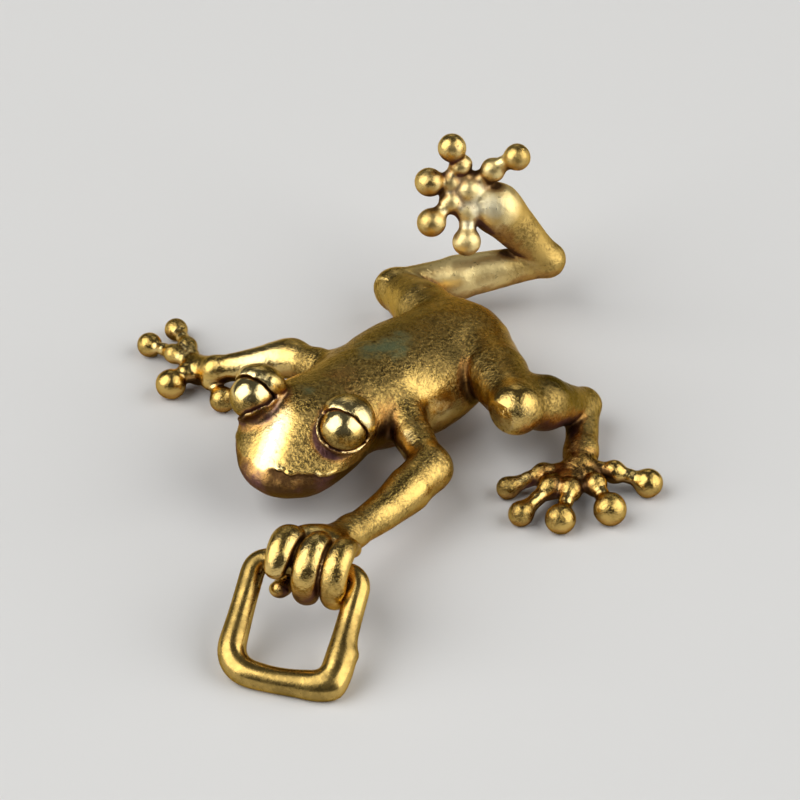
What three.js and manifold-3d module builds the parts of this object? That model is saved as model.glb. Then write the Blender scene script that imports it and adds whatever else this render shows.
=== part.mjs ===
// Cast brass tree frog, sprawled on its belly, with a square wire ring swinging in its closed left fist.
// Millimetres, +Z up. The frog faces -Y, its left is +X, and the origin is on the flat under its belly.
import * as THREE from "three";
import { mergeVertices } from "three/addons/utils/BufferGeometryUtils.js";
import Module from "manifold-3d";

const wasm = await Module();
wasm.setup();

// Joins between castings
const SEAM = 0.3; // gap of the seam between two castings
const EYE_GAP = 0.2; // gap round an eyeball, under its lid and in its socket
const RING_GAP = 0.3; // running gap round the ring's bar, and beside the fist

// Torso
const TORSO_LENGTH = 21;
const TORSO_WIDTH = 12.6;
const TORSO_HEIGHT = 9.2;
const BELLY_FLAT_DEPTH = 0.3; // how much of the belly is filed away to stand flat
const VENT_BEHIND = 10; // origin to the torso's rear end

// Head
const NECK_SIDE = -0.2; // the neck's middle, left of the spine
const HEAD_YAW = 16; // turned to the frog's left, in degrees
const HEAD_LENGTH = 14.3;
const HEAD_WIDTH = 11.6;
const HEAD_HEIGHT = 7.4;
const CHIN_HEIGHT = 1.9; // floor to the underside of the jaw
const HEAD_OVERLAP = 3.6; // how far the head reaches back over the neck
const MOUTH_RISE = 2.5; // underside of the jaw to the mouth
const MOUTH_WIDTH = 0.3; // width of the groove between the lips
const MOUTH_DEPTH = 0.35;
const MOUTH_REACH = 9; // snout to the corners of the mouth

// Eyes
const EYE_DIAMETER = 4.5;
const EYE_INSET = 1.15; // eye's middle, in from the head's side
const EYE_SETBACK = 5.8; // eye's middle, back from the snout
const EYE_SINK = 0.3; // eye's middle, below the crown
const LID_THICKNESS = 0.4;
const LID_SPREAD = 86; // half angle of the lid's dome, in degrees
const LID_LEAN = 70; // how far the lid's dome leans back from upright, in degrees

// Limb thickness, as radii
const SHOULDER_RADIUS = 2.3;
const ELBOW_RADIUS = 1.95;
const FOREARM_RADIUS = 2.35;
const WRIST_RADIUS = 1.55;
const HIP_RADIUS = 2.8;
const KNEE_RADIUS = 2.15;
const SHANK_RADIUS = 2.0;
const HEEL_RADIUS = 1.65;
const ANKLE_RADIUS = 1.6;
const SOLE_RADIUS = 1.8;
const ROOT_TAPER = 0.85; // a limb's first radius as a share of the joint that it grows from
const MUSCLE_PLACE = 0.4; // where forearm and shank are thickest, as a share of their length

// Toes
const TOE_RADIUS = 0.75;
const KNUCKLE_RADIUS = 0.95;
const PAD_DIAMETER = 2.7;
const PAD_FLAT_DEPTH = 0.15; // how much of a standing toe pad is filed flat
const TOE_ARCH = 0.5; // how far a toe rises between its root and its pad
const SOLE_FLATNESS = 0.8; // height of a sole over its width

// Ring and fist
const WIRE_DIAMETER = 2.3;
const RING_DROP = 10.2; // from the middle of the bar to the middle of the bottom
const RING_TOP_CORNER = 1.3; // corner radii at the middle of the wire
const RING_LOW_CORNER = 2.4;
const RING_YAW = 30; // the ring points forward and to the frog's left, in degrees
const SOLDER_RADIUS = 0.7; // the bead that closes the wire
const SOLDER_RISE = 3.4; // bottom of the ring to the bead
const FINGER_WIDTH = 1.95;
const FINGER_THICKNESS = 2.3;
const PALM_THICKNESS = 4.2;
const THUMB_WIDTH = 1.7;
// Turns about the bar where each finger starts, on the palm's top, and ends: 0 is ahead and 90 is up.
const FINGERS = [
  { from: 140, to: -25 },
  { from: 140, to: -85 },
  { from: 140, to: -92 },
];
const THUMB = { from: -150, to: -100 };

// Roots of the limbs, inside the torso
const SHOULDER = { inset: 2.8, behindNeck: 5.5, height: 5.4 };
const HIP = { inset: 4.1, aheadOfVent: 3.7, height: 5.3 };

// Pose: each segment's length, its yaw from straight ahead to the frog's left, and its pitch above level
const LEFT_ARM = [
  { length: 8.2, yaw: 66, pitch: -4 },
  { length: 11.5, yaw: 10, pitch: 0 },
  { length: 7.4, yaw: 16, pitch: 9 },
];
const RIGHT_ARM = [
  { length: 6.1, yaw: -83, pitch: -10 },
  { length: 7.3, yaw: -49, pitch: -13 },
  { length: 2.3, yaw: -85, pitch: -29 },
];
const LEFT_LEG = [
  { length: 12.9, yaw: 59, pitch: 11 },
  { length: 11.4, yaw: -175, pitch: -28 },
  { length: 6.2, yaw: 40, pitch: -6 },
  { length: 2.2, yaw: 40, pitch: -6 },
];
const RIGHT_LEG = [
  { length: 10.2, yaw: -106, pitch: -12 },
  { length: 14.3, yaw: 147, pitch: 6 },
  { length: 7.6, yaw: -40, pitch: 52 },
  { length: 3.2, yaw: -54, pitch: 32 },
];
// Toes fan out from the sole. A standing pad lies on the floor, so only the raised foot's toes have a pitch.
const RIGHT_HAND_TOES = [
  { length: 7.5, yaw: -116 },
  { length: 6.6, yaw: -89 },
  { length: 3.0, yaw: -10 },
  { length: 4.4, yaw: 77 },
];
const LEFT_FOOT_TOES = [
  { length: 6.7, yaw: -28 },
  { length: 7.8, yaw: 3 },
  { length: 6.8, yaw: 30 },
  { length: 5.8, yaw: 71 },
  { length: 5.9, yaw: 122 },
];
const RIGHT_FOOT_TOES = [
  { length: 6.0, yaw: 130, pitch: 42 },
  { length: 4.8, yaw: -53, pitch: 71 },
  { length: 4.0, yaw: -30, pitch: 22 },
  { length: 4.7, yaw: -4, pitch: -19 },
  { length: 4.8, yaw: 43, pitch: -46 },
];

// Outlines, as shares of the length, the width and the height: [along, width, underside, top]
const TORSO_OUTLINE = [
  [0.0, 0.14, 0.5, 0.66],
  [0.05, 0.42, 0.34, 0.76],
  [0.18, 0.74, 0.14, 0.9],
  [0.38, 0.95, 0.02, 0.99],
  [0.58, 1.0, 0.0, 1.0],
  [0.76, 0.95, 0.06, 1.0],
  [0.9, 0.82, 0.16, 0.97],
  [1.0, 0.6, 0.26, 0.9],
];
const HEAD_OUTLINE = [
  [0.0, 0.66, 0.18, 0.88],
  [0.2, 0.88, 0.06, 0.98],
  [0.42, 1.0, 0.0, 1.0],
  [0.6, 1.0, 0.0, 0.95],
  [0.76, 0.87, 0.02, 0.85],
  [0.88, 0.66, 0.07, 0.73],
  [0.96, 0.41, 0.15, 0.6],
  [1.0, 0.16, 0.28, 0.48],
];

const castBrass = new THREE.MeshStandardMaterial({ color: 0xb08a3c, roughness: 0.34, metalness: 1 });
const polishedBrass = new THREE.MeshStandardMaterial({ color: 0xd9bb62, roughness: 0.18, metalness: 1 });
const wireBrass = new THREE.MeshStandardMaterial({ color: 0xbf9c48, roughness: 0.28, metalness: 1 });

const UP = new THREE.Vector3(0, 0, 1);
const SIDES = { left: 1, right: -1 };
const vec = (x, y, z) => new THREE.Vector3(x, y, z);
const radians = THREE.MathUtils.degToRad;
const { lerp, smoothstep } = THREE.MathUtils;

// A step of a given length, yaw from straight ahead (-Y) to the left (+X), and pitch above level.
function stride({ length = 1, yaw, pitch = 0 }) {
  const level = length * Math.cos(radians(pitch));
  const x = level * Math.sin(radians(yaw));
  const y = -level * Math.cos(radians(yaw));
  return vec(x, y, length * Math.sin(radians(pitch)));
}

// The joints of a limb, from its root through each segment in turn
function chain(root, segments) {
  const joints = [root];
  for (const segment of segments) joints.push(joints.at(-1).clone().add(stride(segment)));
  return joints;
}

function solid(geometry) {
  const bare = geometry.clone();
  bare.deleteAttribute("normal");
  bare.deleteAttribute("uv");
  const merged = mergeVertices(bare, 1e-5);
  const triVerts = new Uint32Array(merged.index.array);
  const corners = { numProp: 3, vertProperties: merged.attributes.position.array, triVerts };
  return new wasm.Manifold(new wasm.Mesh(corners));
}

const cut = (body, ...tools) => tools.reduce((rest, tool) => rest.subtract(tool), body);
const join = (first, ...others) => others.reduce((sum, other) => sum.add(other), first);

// Closed skin over rings of points that follow each other, with a fan over each end
function skin(rings) {
  const sides = rings[0].length;
  const points = rings.flat();
  const middle = (ring) => ring.reduce((sum, point) => sum.add(point), vec(0, 0, 0)).divideScalar(sides);
  const first = points.push(middle(rings[0])) - 1;
  const last = points.push(middle(rings.at(-1))) - 1;
  const end = (rings.length - 1) * sides;
  const faces = [];
  for (let j = 0; j < sides; j++) {
    const next = (j + 1) % sides;
    for (let near = 0; near < end; near += sides) {
      const far = near + sides;
      faces.push(near + j, near + next, far + next, near + j, far + next, far + j);
    }
    faces.push(first, next, j, last, end + j, end + next);
  }
  return solid(new THREE.BufferGeometry().setFromPoints(points).setIndex(faces));
}

// Ellipse of points about a centre, with its two half axes as vectors
function ellipse(centre, across, up, sides) {
  return Array.from({ length: sides }, (_, j) => {
    const angle = (2 * Math.PI * j) / sides;
    return centre.clone().addScaledVector(across, Math.cos(angle)).addScaledVector(up, Math.sin(angle));
  });
}

// Round limb through points, with a radius at each point and domed ends. flatness is its height over its width.
function limb(points, radii, { sides = 12, steps = 3, flatness = 1, across = null, grow = 0 } = {}) {
  const curve = new THREE.CatmullRomCurve3(points, false, "centripetal");
  const spans = points.length - 1;
  const domeSteps = 3;
  const radiusAt = (t) => {
    const span = Math.min(Math.floor(t * spans), spans - 1);
    return lerp(radii[span], radii[span + 1], smoothstep(t * spans - span, 0, 1));
  };
  const ring = (t, tilt) => {
    const along = curve.getTangent(t);
    const side = across ? across.clone() : UP.clone().cross(along).normalize();
    const up = along.clone().cross(side);
    const width = radiusAt(t) + grow;
    const height = radiusAt(t) * flatness + grow;
    const centre = curve.getPoint(t).addScaledVector(along, width * Math.sin(tilt));
    const share = Math.cos(tilt);
    return ellipse(centre, side.multiplyScalar(width * share), up.multiplyScalar(height * share), sides);
  };
  const tiltOf = (step) => (Math.PI / 2) * (step / domeSteps);
  const rings = [];
  for (let i = domeSteps - 1; i > 0; i--) rings.push(ring(0, -tiltOf(i)));
  for (let i = 0; i <= spans * steps; i++) rings.push(ring(i / (spans * steps), 0));
  for (let i = 1; i < domeSteps; i++) rings.push(ring(1, tiltOf(i)));
  return skin(rings);
}

// Body of upright elliptical sections along a level heading, drawn from an outline's shares
function loft(outline, { start, heading, length, width, base, height, grow = 0 }) {
  const sides = 20;
  const count = (outline.length - 1) * 2;
  const column = (n) => new THREE.SplineCurve(outline.map((row) => new THREE.Vector2(row[0], row[n])));
  const columns = [column(1), column(2), column(3)];
  const side = UP.clone().cross(heading);
  const rings = [];
  for (let i = 0; i <= count; i++) {
    const [wide, under, top] = columns.map((curve) => curve.getPoint(i / count));
    const end = i === 0 ? -grow : i === count ? grow : 0;
    const centre = start.clone().addScaledVector(heading, wide.x * length + end);
    centre.z = base + (height * (under.y + top.y)) / 2;
    const halfWidth = (wide.y * width) / 2 + grow;
    const halfHeight = (height * (top.y - under.y)) / 2 + grow;
    const across = side.clone().multiplyScalar(halfWidth);
    rings.push(ellipse(centre, across, UP.clone().multiplyScalar(halfHeight), sides));
  }
  return skin(rings);
}

const block = (width, length, height, centre) =>
  solid(new THREE.BoxGeometry(width, length, height).translate(centre.x, centre.y, centre.z));

// Everything under the floor, to file standing surfaces flat
const FAR = 200;
const underFloor = block(FAR, FAR, FAR, vec(0, 0, -FAR / 2));

// Torso
const torsoForm = (grow = 0) =>
  loft(TORSO_OUTLINE, {
    start: vec(0, VENT_BEHIND, 0),
    heading: stride({ yaw: 0 }),
    length: TORSO_LENGTH,
    width: TORSO_WIDTH,
    base: -BELLY_FLAT_DEPTH,
    height: TORSO_HEIGHT + BELLY_FLAT_DEPTH,
    grow,
  });

// Head, turned about the neck
const neck = vec(NECK_SIDE, VENT_BEHIND - TORSO_LENGTH, 0);
const headAhead = stride({ yaw: HEAD_YAW });
const headLeft = UP.clone().cross(headAhead);
const snout = neck.clone().addScaledVector(headAhead, HEAD_LENGTH - HEAD_OVERLAP);
const headForm = (grow = 0) =>
  loft(HEAD_OUTLINE, {
    start: neck.clone().addScaledVector(headAhead, -HEAD_OVERLAP),
    heading: headAhead,
    length: HEAD_LENGTH,
    width: HEAD_WIDTH,
    base: CHIN_HEIGHT,
    height: HEAD_HEIGHT,
    grow,
  });

// Groove between the lips, from one corner of the mouth round the snout to the other
function mouthGroove() {
  const rind = cut(headForm(MOUTH_DEPTH), headForm(-MOUTH_DEPTH));
  const slab = new THREE.BoxGeometry(HEAD_WIDTH * 2, MOUTH_REACH * 2, MOUTH_WIDTH);
  slab.rotateZ(radians(HEAD_YAW)).translate(snout.x, snout.y, CHIN_HEIGHT + MOUTH_RISE);
  return rind.intersect(solid(slab));
}

// Eyes: a ball under a dome-shaped lid
const eyeRadius = EYE_DIAMETER / 2;
function eyeCentre(hand) {
  const centre = snout.clone().addScaledVector(headAhead, -EYE_SETBACK);
  centre.addScaledVector(headLeft, hand * (HEAD_WIDTH / 2 - EYE_INSET));
  return centre.setZ(CHIN_HEIGHT + HEAD_HEIGHT - EYE_SINK);
}

const eyeBall = (grow = 0) => new THREE.SphereGeometry(eyeRadius + grow, 18, 10);

function lidDome(grow = 0) {
  const arcSteps = 6;
  const inner = eyeRadius + EYE_GAP - grow;
  const outer = eyeRadius + EYE_GAP + LID_THICKNESS + grow;
  const spread = radians(LID_SPREAD) + grow / eyeRadius;
  const profile = [];
  for (let i = 0; i <= arcSteps; i++) {
    const angle = (spread * i) / arcSteps;
    profile.push(new THREE.Vector2(inner * Math.sin(angle), inner * Math.cos(angle)));
  }
  for (let i = arcSteps; i >= 0; i--) {
    const angle = (spread * i) / arcSteps;
    profile.push(new THREE.Vector2(outer * Math.sin(angle), outer * Math.cos(angle)));
  }
  const lean = radians(LID_LEAN);
  const axis = UP.clone().multiplyScalar(Math.cos(lean)).addScaledVector(headAhead, -Math.sin(lean));
  const turn = new THREE.Quaternion().setFromUnitVectors(vec(0, 1, 0), axis);
  return new THREE.LatheGeometry(profile, 18).applyQuaternion(turn);
}

function eyeSocket(hand) {
  const { x, y, z } = eyeCentre(hand);
  return join(solid(eyeBall(EYE_GAP).translate(x, y, z)), solid(lidDome(EYE_GAP).translate(x, y, z)));
}

// Limbs. A segment starts thinner than the joint that it grows from, so that it seats on it.
const upperArmForm = (arm, grow = 0) => limb([arm[0], arm[1]], [SHOULDER_RADIUS, ELBOW_RADIUS], { grow });
const thighForm = (leg, grow = 0) => limb([leg[0], leg[1]], [HIP_RADIUS, KNEE_RADIUS], { grow });

function muscled(from, to, radii, grow) {
  return limb([from, from.clone().lerp(to, MUSCLE_PLACE), to], radii, { grow });
}
const forearmForm = (arm, grow = 0) =>
  muscled(arm[1], arm[2], [ELBOW_RADIUS * ROOT_TAPER, FOREARM_RADIUS, WRIST_RADIUS], grow);
const shankForm = (leg, grow = 0) =>
  muscled(leg[1], leg[2], [KNEE_RADIUS * ROOT_TAPER, SHANK_RADIUS, HEEL_RADIUS], grow);

function limbRoot({ inset, height }, y, hand) {
  return vec(hand * (TORSO_WIDTH / 2 - inset), y, height);
}
const shoulderY = neck.y + SHOULDER.behindNeck;
const hipY = VENT_BEHIND - HIP.aheadOfVent;
const leftArm = chain(limbRoot(SHOULDER, shoulderY, SIDES.left), LEFT_ARM);
const rightArm = chain(limbRoot(SHOULDER, shoulderY, SIDES.right), RIGHT_ARM);
const leftLeg = chain(limbRoot(HIP, hipY, SIDES.left), LEFT_LEG);
const rightLeg = chain(limbRoot(HIP, hipY, SIDES.right), RIGHT_LEG);
// A standing sole clears the floor by as much as its pads are filed.
const soleHeight = SOLE_RADIUS * SOLE_FLATNESS + PAD_FLAT_DEPTH;
leftLeg.at(-1).setZ(soleHeight);
rightArm.at(-1).setZ(soleHeight);

// Toe from the sole to its round pad, with a knuckle on the way
function toe(sole, tip) {
  const at = (share) => sole.clone().lerp(tip, share).addScaledVector(UP, TOE_ARCH * Math.sin(Math.PI * share));
  const radii = [KNUCKLE_RADIUS, TOE_RADIUS, KNUCKLE_RADIUS, TOE_RADIUS, PAD_DIAMETER / 2];
  return limb([sole, at(0.3), at(0.52), at(0.7), tip], radii, { sides: 8, steps: 2 });
}

const padHeight = PAD_DIAMETER / 2 - PAD_FLAT_DEPTH;
const standingTip = (sole, reach) => sole.clone().add(stride(reach)).setZ(padHeight);
const raisedTip = (sole, reach) => sole.clone().add(stride(reach));

// Foot or open hand: a stem from the limb's end to the sole, and its fan of toes
function foot(stem, radii, reaches, tipOf) {
  const sole = stem.at(-1);
  const toes = reaches.map((reach) => toe(sole, tipOf(sole, reach)));
  return join(limb(stem, radii, { flatness: SOLE_FLATNESS }), ...toes);
}
const footRadii = [HEEL_RADIUS * ROOT_TAPER, ANKLE_RADIUS, SOLE_RADIUS];
const handRadii = [WRIST_RADIUS * ROOT_TAPER, SOLE_RADIUS];

// Fist: it closes on the ring's bar at the end of the left arm
const grip = leftArm.at(-1);
const gripAhead = stride({ yaw: RING_YAW });
const gripLeft = UP.clone().cross(gripAhead);
const wireRadius = WIRE_DIAMETER / 2;
const gripRadius = wireRadius + RING_GAP;
const fingerArc = gripRadius + FINGER_THICKNESS / 2;
const fingerPitch = FINGER_WIDTH + SEAM;
const fistWidth = FINGERS.length * fingerPitch - SEAM;
const fingerPlace = (index) => (index - (FINGERS.length - 1) / 2) * fingerPitch;

function palmForm(grow = 0) {
  const wrist = leftArm[2];
  const handAhead = stride(LEFT_ARM[2]).normalize();
  const handLeft = UP.clone().cross(handAhead).normalize();
  const between = handLeft.clone().add(gripLeft).normalize();
  const root = WRIST_RADIUS * ROOT_TAPER;
  const back = wrist.clone().addScaledVector(handAhead, -root / 2 - grow);
  const heel = grip.clone().addScaledVector(gripAhead, -fingerArc * 0.75);
  const front = grip.clone().addScaledVector(gripAhead, grow - gripRadius * 0.4);
  const station = (centre, across, halfWidth, halfHeight) => {
    const up = UP.clone().multiplyScalar(halfHeight + grow);
    return ellipse(centre, across.clone().multiplyScalar(halfWidth + grow), up, 16);
  };
  return skin([
    station(back, handLeft, root * 0.7, root * 0.7),
    station(wrist, handLeft, root, root),
    station(wrist.clone().lerp(heel, 0.55), between, fistWidth * 0.4, PALM_THICKNESS * 0.42),
    station(heel, gripLeft, fistWidth / 2, PALM_THICKNESS / 2),
    station(front, gripLeft, fistWidth * 0.42, PALM_THICKNESS * 0.4),
  ]);
}

// Finger or thumb curled about the bar
function curled(place, { from, to }, width) {
  const bends = 5;
  const middle = grip.clone().addScaledVector(gripLeft, place);
  const points = Array.from({ length: bends }, (_, i) => {
    const angle = radians(lerp(from, to, i / (bends - 1)));
    const point = middle.clone().addScaledVector(gripAhead, fingerArc * Math.cos(angle));
    return point.addScaledVector(UP, fingerArc * Math.sin(angle));
  });
  const radii = points.map(() => width / 2);
  return limb(points, radii, { sides: 10, steps: 2, across: gripLeft, flatness: FINGER_THICKNESS / width });
}

function barChannel() {
  const ends = [-fistWidth, fistWidth].map((along) => grip.clone().addScaledVector(gripLeft, along));
  return limb(ends, [gripRadius, gripRadius], { steps: 1 });
}

// Ring: round wire bent to a square. X runs along its bar and Y from the bar to the bottom, which meets the floor.
const ringWidth = fistWidth + 2 * RING_GAP + WIRE_DIAMETER;
function ringWire() {
  const half = ringWidth / 2;
  const corners = [
    { point: vec(half, 0, 0), radius: RING_TOP_CORNER },
    { point: vec(half, RING_DROP, 0), radius: RING_LOW_CORNER },
    { point: vec(-half, RING_DROP, 0), radius: RING_LOW_CORNER },
    { point: vec(-half, 0, 0), radius: RING_TOP_CORNER },
  ];
  const toward = (from, to, reach) => from.clone().addScaledVector(to.clone().sub(from).normalize(), reach);
  const path = new THREE.CurvePath();
  corners.forEach(({ point, radius }, i) => {
    const before = corners.at(i - 1);
    const after = corners[(i + 1) % corners.length];
    const leave = toward(point, after.point, radius);
    path.add(new THREE.QuadraticBezierCurve3(toward(point, before.point, radius), point, leave));
    path.add(new THREE.LineCurve3(leave, toward(after.point, point, after.radius)));
  });
  return solid(new THREE.TubeGeometry(path, 48, wireRadius, 10, true));
}

function ringForm() {
  const bead = new THREE.SphereGeometry(SOLDER_RADIUS, 10, 6);
  bead.translate(ringWidth / 2 + wireRadius - SOLDER_RADIUS / 2, RING_DROP - SOLDER_RISE, 0);
  return join(ringWire(), solid(bead));
}

const ringPitch = -Math.asin(Math.min(1, (grip.z - wireRadius) / RING_DROP));
const ringDown = gripAhead.clone().multiplyScalar(Math.cos(ringPitch)).addScaledVector(UP, Math.sin(ringPitch));

// Assembly
const frog = new THREE.Group();

function addPart(name, body, material, parent = frog) {
  const { numProp, numVert, vertProperties, triVerts } = body.getMesh();
  const positions = new Float32Array(numVert * 3);
  for (let i = 0; i < numVert; i++) {
    positions.set(vertProperties.subarray(i * numProp, i * numProp + 3), i * 3);
  }
  const geometry = new THREE.BufferGeometry();
  geometry.setAttribute("position", new THREE.BufferAttribute(positions, 3));
  geometry.setIndex(new THREE.BufferAttribute(triVerts, 1));
  geometry.computeVertexNormals();
  const part = new THREE.Mesh(geometry, material);
  part.name = name;
  parent.add(part);
}

const torsoSeat = torsoForm(SEAM);
const headSeat = headForm(SEAM);
addPart("torso", cut(torsoForm(), underFloor), castBrass);
const sockets = Object.values(SIDES).map(eyeSocket);
addPart("head", cut(headForm(), torsoSeat, mouthGroove(), ...sockets), castBrass);

for (const [side, hand] of Object.entries(SIDES)) {
  const eye = new THREE.Group();
  eye.position.copy(eyeCentre(hand));
  frog.add(eye);
  addPart(`${side}_eyeball`, solid(eyeBall()), polishedBrass, eye);
  addPart(`${side}_eyelid`, solid(lidDome()), castBrass, eye);
}

for (const [side, arm, leg] of [["left", leftArm, leftLeg], ["right", rightArm, rightLeg]]) {
  addPart(`${side}_upper_arm`, cut(upperArmForm(arm), torsoSeat, headSeat), castBrass);
  addPart(`${side}_forearm`, cut(forearmForm(arm), upperArmForm(arm, SEAM), headSeat), castBrass);
  addPart(`${side}_thigh`, cut(thighForm(leg), torsoSeat), castBrass);
  addPart(`${side}_shank`, cut(shankForm(leg), thighForm(leg, SEAM)), castBrass);
}

const rightHand = foot(rightArm.slice(2), handRadii, RIGHT_HAND_TOES, standingTip);
addPart("right_hand", cut(rightHand, forearmForm(rightArm, SEAM), underFloor), castBrass);
const leftFoot = foot(leftLeg.slice(2), footRadii, LEFT_FOOT_TOES, standingTip);
addPart("left_foot", cut(leftFoot, shankForm(leftLeg, SEAM), underFloor), castBrass);
const rightFoot = foot(rightLeg.slice(2), footRadii, RIGHT_FOOT_TOES, raisedTip);
addPart("right_foot", cut(rightFoot, shankForm(rightLeg, SEAM)), castBrass);

const palmSeat = palmForm(SEAM);
addPart("left_palm", cut(palmForm(), forearmForm(leftArm, SEAM), barChannel()), castBrass);
FINGERS.forEach((bend, i) => {
  addPart(`left_finger_${i + 1}`, cut(curled(fingerPlace(i), bend, FINGER_WIDTH), palmSeat), castBrass);
});
addPart("left_thumb", cut(curled(fingerPlace(0), THUMB, THUMB_WIDTH), palmSeat), castBrass);

const ring = new THREE.Group();
ring.position.copy(grip);
ring.quaternion.setFromRotationMatrix(
  new THREE.Matrix4().makeBasis(gripLeft, ringDown, gripLeft.clone().cross(ringDown)),
);
frog.add(ring);
addPart("grip_ring", ringForm(), wireBrass, ring);

export default frog;
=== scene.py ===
"""Looks of a cast brass tree frog that holds a square wire ring, on a pale studio floor.

The casting is one smooth form, modelled as a distance field in millimetres and meshed once. Its skin is
then parted into the pieces of the frame, so that each piece meets its neighbour without a step.
"""
import math
from collections import Counter

import bmesh
import bpy
import numpy as np
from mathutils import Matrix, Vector


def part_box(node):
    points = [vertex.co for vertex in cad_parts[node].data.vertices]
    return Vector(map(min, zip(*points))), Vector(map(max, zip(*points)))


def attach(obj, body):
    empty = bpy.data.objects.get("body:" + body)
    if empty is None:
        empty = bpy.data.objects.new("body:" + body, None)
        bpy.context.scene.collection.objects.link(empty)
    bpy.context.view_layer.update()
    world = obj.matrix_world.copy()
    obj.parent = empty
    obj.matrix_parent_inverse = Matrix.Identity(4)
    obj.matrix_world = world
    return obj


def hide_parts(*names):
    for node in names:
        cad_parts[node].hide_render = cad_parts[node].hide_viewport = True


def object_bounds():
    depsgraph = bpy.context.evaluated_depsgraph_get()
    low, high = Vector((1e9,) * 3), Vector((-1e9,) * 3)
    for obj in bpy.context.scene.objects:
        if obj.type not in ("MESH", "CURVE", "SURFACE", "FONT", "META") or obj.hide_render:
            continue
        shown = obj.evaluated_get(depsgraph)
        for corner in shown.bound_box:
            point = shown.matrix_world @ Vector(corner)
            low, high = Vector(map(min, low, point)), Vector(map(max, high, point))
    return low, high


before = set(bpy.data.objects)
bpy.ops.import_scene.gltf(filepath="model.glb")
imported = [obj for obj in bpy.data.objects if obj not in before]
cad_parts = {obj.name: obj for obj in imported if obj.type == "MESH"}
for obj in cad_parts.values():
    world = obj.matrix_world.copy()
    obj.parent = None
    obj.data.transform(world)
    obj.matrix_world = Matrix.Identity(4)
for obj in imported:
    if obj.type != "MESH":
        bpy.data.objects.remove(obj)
cad_low, cad_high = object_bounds()

MM = 0.001

# Camera, at the viewing angle of the reference picture
AZIMUTH = 46
ELEVATION = 37
CAMERA_DISTANCE = 480
LENS = 237.6  # focal length
SENSOR = 36
AIM = (-2.41, 0.45, 0)

# Meshing of the skin
VOXEL = 0.16
BLOCK = 10  # voxels along one side of a block that is sampled or skipped as a whole
BLOCK_REACH = 1.4  # distance from a block's middle, in sides, within which the surface may pass it
FIELD_SLACK = 0.4  # how far the field may be off a true distance there
CHUNK = 400  # blocks that are sampled at a time
MARGIN = 1.0  # room round the frame's box
NODE_REACH = 2.5  # how far outside its frame box a node still shapes the skin
FAR = 50.0
SETTLE_STEPS = 2
SETTLE_STRIDE = 0.6  # longest move of a vertex in one step, in voxels
VOTE_ROUNDS = 3

# Pose: lengths in millimetres, yaw from straight ahead to the frog's left and pitch above level in degrees
NECK = (-0.2, -11, 0)
HEAD_YAW = 16
SHOULDER = (3.5, -5.5, 5.4)
HIP = (2.2, 6.3, 5.3)
LEFT_ARM = [(8.2, 66, -4), (11.5, 10, 0), (7.4, 16, 9)]
RIGHT_ARM = [(6.1, -83, -10), (7.3, -49, -13), (2.3, -85, -29)]
LEFT_LEG = [(12.9, 59, 11), (10.7, -175, -28), (5.87, 42.6, -8.7), (2.08, 42.6, -8.7)]
RIGHT_LEG = [(10.2, -106, -12), (14.3, 147, 6), (7.6, -40, 52), (3.2, -54, 32)]
SOLE_HEIGHT = 1.59

# Torso: middle and radii of the belly, the chest and the rump, and the fillet between them
TORSO_MASSES = [
    ((0, -1.0, 4.55), (6.3, 9.6, 4.8)),
    ((0, -7.0, 5.3), (5.2, 4.6, 3.9)),
    ((0, 4.5, 4.9), (4.9, 5.6, 4.0)),
]
TORSO_FILLET = 1.5

# Limbs: places of the muscles as shares of the bone's length, and bony points of the joints
MUSCLE_PLACE = 0.3
MUSCLE_EASE = -0.35  # where the swelling towards the muscle of the forearm would start
FOREARM_BOW = (0.78, 0.15, -0.6)  # direction in which the muscle of the left forearm hangs
ELBOW_SLIDE = 0.8  # how far the point of the elbow lies along the forearm
ELBOW_PUSH = 1.0
ELBOW_RADIUS = 0.8
ELBOW_FILLET = 2.0
THIGH_PLACE = 0.45
CALF_PLACE = 0.4
CALF_FILLET = 0.6
KNEE_PUSH = 0.25
KNEE_FILLET = 0.8

# Toes: length, yaw, pitch and the radius of the round pad at the tip
RIGHT_HAND_TOES = [
    (7.5, -116, 0, 1.05),
    (6.6, -89, 0, 1.15),
    (3.0, -10, 0, 1.4),
    (4.4, 77, 0, 1.2),
]
LEFT_FOOT_TOES = [
    (6.7, -28, 0, 1.05),
    (7.8, 3, 0, 1.15),
    (6.9, 30, 0, 1.38),
    (6.0, 71, 0, 1.48),
    (6.2, 122, 0, 1.3),
]
RIGHT_FOOT_TOES = [
    (6.0, 130, 42, 1.25),
    (4.8, -53, 71, 1.35),
    (4.0, -30, 22, 1.35),
    (4.7, -4, -19, 1.35),
    (4.8, 43, -46, 1.3),
]
TOE_PLACES = (0.05, 0.3, 0.5, 0.72, 1.0)  # root, stem, knuckle, stem and tip, as shares of its length
TOE_RADII = (1.0, 0.74, 1.05, 0.66, 0.85)
TOE_ARCH = 0.45
TOE_FILLET = 0.7
HAND_STOUTNESS = 0.78  # of the right hand's toes, next to those of the feet
PAD_FILLET = 0.35
PAD_SINK = 0.12  # how much of a standing pad is flattened on the floor
TARSUS_FILLET = 0.8
SOLE_FACING = (0.57, -0.55, 0.6)  # way that the sole of the raised foot faces
SOLE_PAD_RISE = 0.9
SOLE_PAD_RADIUS = 1.2
SOLE_PAD_FILLET = 0.4

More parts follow.
